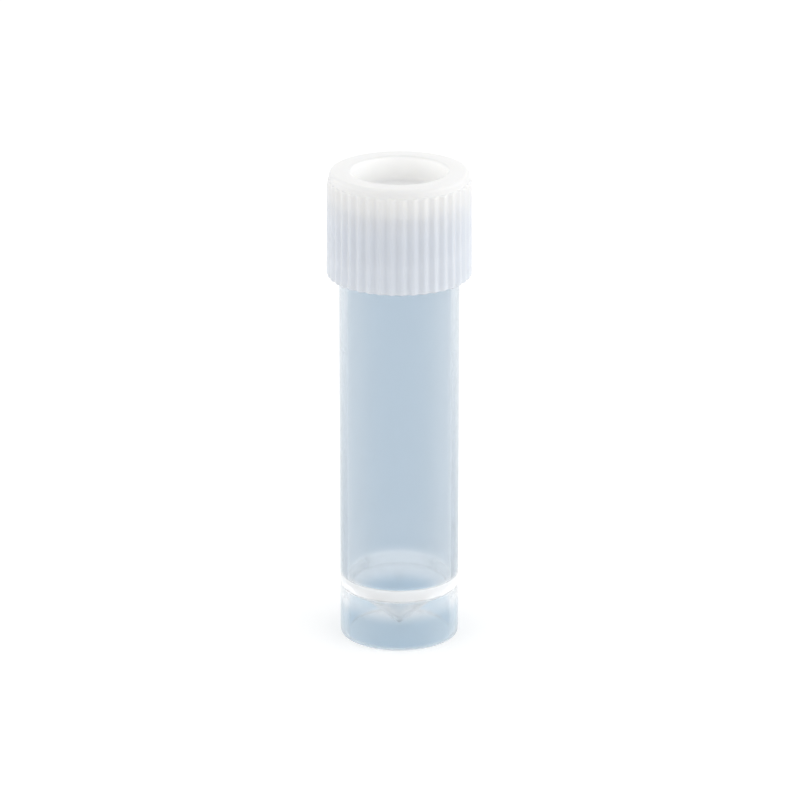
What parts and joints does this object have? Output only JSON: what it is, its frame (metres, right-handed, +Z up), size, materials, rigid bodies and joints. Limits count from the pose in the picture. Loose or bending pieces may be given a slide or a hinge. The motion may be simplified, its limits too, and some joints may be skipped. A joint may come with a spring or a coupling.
{
  "type": "self-standing screw-cap cryovial",
  "caption": "Straight translucent vial with a conical floor above an open skirt, closed by a ribbed screw cap with a round recess in its top and a seal ring inside.",
  "frame": {"origin": "centre of the foot ring, on the surface the vial stands on", "axes": "+Z up along the axis of the tube and the screw thread; +X and +Y point at rib crests of the cap"},
  "size_m": [0.013, 0.013, 0.044],
  "materials": {
    "natural_polypropylene": "translucent natural polypropylene, smooth moulded surface, faint milky haze",
    "white_polypropylene": "translucent white polypropylene, satin moulded surface",
    "silicone": "natural silicone, matt"
  },
  "bodies": {
    "tube": {"tube": "natural_polypropylene"},
    "seal": {"seal_ring": "silicone"},
    "cap": {"cap": "white_polypropylene"}
  },
  "joints": [
    {"name": "cap_rise", "type": "slide", "parent": "tube", "child": "seal", "axis": [0, 0, 1], "range_m": [0, 0.00625]},
    {"name": "cap_turn", "type": "hinge", "parent": "seal", "child": "cap", "pos_m": [0, 0, 0.0415], "axis": [0, 0, 1], "range_deg": [0, 902]}
  ],
  "couplings": [
    {"joint": "cap_turn", "follows": "cap_rise", "rad_per_m": 2513.3}
  ]
}
